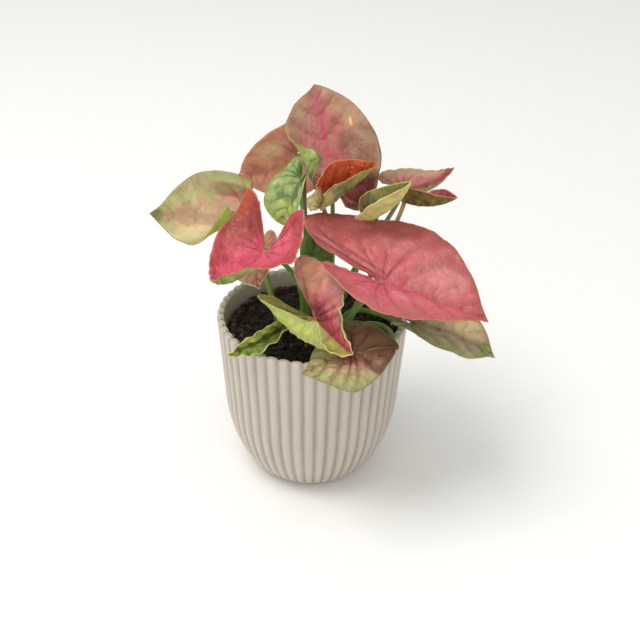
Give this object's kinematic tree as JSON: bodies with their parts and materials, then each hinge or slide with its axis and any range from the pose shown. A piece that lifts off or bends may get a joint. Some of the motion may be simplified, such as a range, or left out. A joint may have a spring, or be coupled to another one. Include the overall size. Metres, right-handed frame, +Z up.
{
  "type": "potted syngonium",
  "caption": "Small arrowhead plant with folded pink, tan and green leaves on thin stalks, in a nursery pot of soil inside a ribbed off-white ceramic planter.",
  "frame": {"origin": "centre of the planter's flat underside", "axes": "+Z up along the planter's axis; -Y is the front, the side that the large pink leaves face; +X to the right seen from the front"},
  "size_m": [0.1327, 0.1021, 0.1507],
  "materials": {
    "ceramic": "satin off-white glaze on ceramic, with no cracks or print",
    "nursery_pot": "thin moulded pot, satin brown-red",
    "soil": "moist dark potting mix with white perlite grains",
    "stem": "green stem with paler leaf scars",
    "stalk": "smooth green leaf stalk, flushed pink near the blade",
    "leaf_pink": "satin pink leaf, bright pink along the midrib, pale green beneath",
    "leaf_rose": "satin rose leaf, darker towards the margin, pale green beneath",
    "leaf_tan": "satin tan-pink leaf with a pink midrib, pale green beneath",
    "leaf_orange": "satin orange-red young leaf with yellow specks, olive beneath",
    "leaf_olive": "satin olive leaf with brown-pink blotches, yellow-green beneath",
    "leaf_green": "satin green young leaf with a pale margin",
    "leaf_pale_green": "puckered pale green leaf with darker veins"
  },
  "bodies": {
    "root": {"planter": "ceramic", "grow_pot": "nursery_pot", "soil": "soil", "stem_left": "stem", "stem_back": "stem", "stem_right": "stem", "leaf_crown_top": "leaf_tan", "leaf_back_left": "leaf_tan", "leaf_crown_folded": "leaf_orange", "leaf_left_broad": "leaf_olive", "leaf_crown_small": "leaf_pale_green", "leaf_right_upper": "leaf_tan", "leaf_right_middle": "leaf_olive", "leaf_right_inner": "leaf_olive", "leaf_left_cupped": "leaf_rose", "leaf_front_large": "leaf_pink", "leaf_right_low": "leaf_tan", "leaf_front_rolled": "leaf_pink", "leaf_over_rim": "leaf_tan", "leaf_left_low_folded": "leaf_green", "leaf_left_hidden": "leaf_tan", "leaf_heart_young": "leaf_green", "stalk_crown_top": "stalk", "stalk_back_left": "stalk", "stalk_crown_folded": "stalk", "stalk_left_broad": "stalk", "stalk_crown_small": "stalk", "stalk_right_upper": "stalk", "stalk_right_middle": "stalk", "stalk_right_inner": "stalk", "stalk_left_cupped": "stalk", "stalk_front_large": "stalk", "stalk_right_low": "stalk", "stalk_front_rolled": "stalk", "stalk_over_rim": "stalk", "stalk_left_low_folded": "stalk", "stalk_left_hidden": "stalk", "stalk_heart_young": "stalk"}
  },
  "joints": []
}
